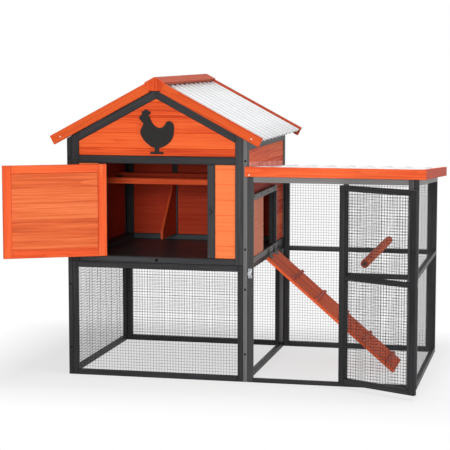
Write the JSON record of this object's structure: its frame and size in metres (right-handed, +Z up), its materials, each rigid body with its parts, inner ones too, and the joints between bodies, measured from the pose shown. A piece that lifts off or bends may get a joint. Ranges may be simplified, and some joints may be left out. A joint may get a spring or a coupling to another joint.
{
  "type": "chicken coop with run",
  "caption": "Raised wooden hen house with a gable roof, hinged door, slide-out tray and pop hole, beside a lean-to wire run with its own door, ramp and perch.",
  "frame": {"origin": "centre of the bounding box's underside at rest, on the ground", "axes": "+X along the length, from the house to the run; +Y from the front to the back; +Z up"},
  "size_m": [1.8022, 1.2488, 1.3214],
  "materials": {
    "orange_timber": "orange stain, satin",
    "dark_timber": "charcoal paint, matt",
    "wire_mesh": "dark coated welded wire",
    "white_sheet": "white corrugated sheet",
    "black_plaque": "black paint, matt",
    "zinc_steel": "zinc plated",
    "black_steel": "black coated",
    "white_caps": "matt",
    "brown_tray": "dark brown coated sheet steel"
  },
  "bodies": {
    "coop": {"left_wall_frame": "dark_timber", "left_wall_boards": "orange_timber", "left_wall_mesh": "wire_mesh", "right_wall_frame": "dark_timber", "right_wall_boards": "orange_timber", "front_lower_frame": "dark_timber", "front_lower_mesh": "wire_mesh", "front_upper_frame": "dark_timber", "front_boards": "orange_timber", "hen_plaque": "black_plaque", "back_lower_frame": "dark_timber", "back_lower_mesh": "wire_mesh", "back_upper_frame": "dark_timber", "back_boards": "orange_timber", "left_roof_sheet": "white_sheet", "right_roof_sheet": "white_sheet", "roof_purlins": "dark_timber", "front_bargeboards": "orange_timber", "back_bargeboards": "orange_timber", "ridge_cap": "orange_timber", "ridge_end_blocks": "orange_timber", "tray_runners": "dark_timber", "roost_bars": "orange_timber", "roost_brackets": "dark_timber", "nest_divider": "orange_timber", "pop_door_tracks": "dark_timber", "front_hinges_fixed": "black_steel", "front_bolt_keeper": "black_steel", "run_front_frame": "dark_timber", "run_front_mesh": "wire_mesh", "run_end_frame": "dark_timber", "run_end_mesh": "wire_mesh", "run_back_frame": "dark_timber", "run_back_mesh": "wire_mesh", "run_roof_sheet": "white_sheet", "run_roof_battens": "dark_timber", "run_fascias": "orange_timber", "perch": "orange_timber", "perch_washers": "black_steel", "run_hinges_fixed": "black_steel", "run_bolt_keeper": "zinc_steel", "ramp_hinges_fixed": "black_steel", "panel_screws": "zinc_steel", "roof_screws": "white_caps"},
    "front_door": {"front_door_frame": "orange_timber", "front_door_boards": "orange_timber", "front_door_hinges": "black_steel", "front_bolt_housing": "black_steel"},
    "front_bolt": {"front_bolt_rod": "zinc_steel"},
    "run_door": {"run_door_frame": "dark_timber", "run_door_mesh": "wire_mesh", "run_door_hinges": "black_steel", "run_bolt_housing": "zinc_steel"},
    "run_bolt": {"run_bolt_rod": "zinc_steel"},
    "pop_door": {"pop_door_panel": "orange_timber"},
    "tray": {"tray_pan": "brown_tray", "tray_front": "dark_timber"},
    "ramp": {"ramp_board": "orange_timber", "ramp_cleats": "orange_timber", "ramp_hinges": "black_steel"}
  },
  "joints": [
    {"name": "front_door_hinge", "type": "hinge", "parent": "coop", "child": "front_door", "pos_m": [-0.49693, -0.39647, 0.741], "axis": [0, 0, 1], "range_deg": [-22, 153]},
    {"name": "front_bolt_slide", "type": "slide", "parent": "front_door", "child": "front_bolt", "axis": [-0.891, -0.454, 0], "range_m": [0, 0.022]},
    {"name": "run_door_hinge", "type": "hinge", "parent": "coop", "child": "run_door", "pos_m": [0.54907, -0.39647, 0.4785], "axis": [0, 0, 1], "range_deg": [-152, 23]},
    {"name": "run_bolt_slide", "type": "slide", "parent": "run_door", "child": "run_bolt", "axis": [0.8829, -0.4695, 0], "range_m": [0, 0.022]},
    {"name": "pop_door_slide", "type": "slide", "parent": "coop", "child": "pop_door", "axis": [0, 1, 0], "range_m": [0, 0.275]},
    {"name": "tray_slide", "type": "slide", "parent": "coop", "child": "tray", "axis": [0, -1, 0], "range_m": [0, 0.7]},
    {"name": "ramp_hinge", "type": "hinge", "parent": "coop", "child": "ramp", "pos_m": [0.15507, 0.07554, 0.513], "axis": [0, -1, 0], "range_deg": [0, 14]}
  ]
}
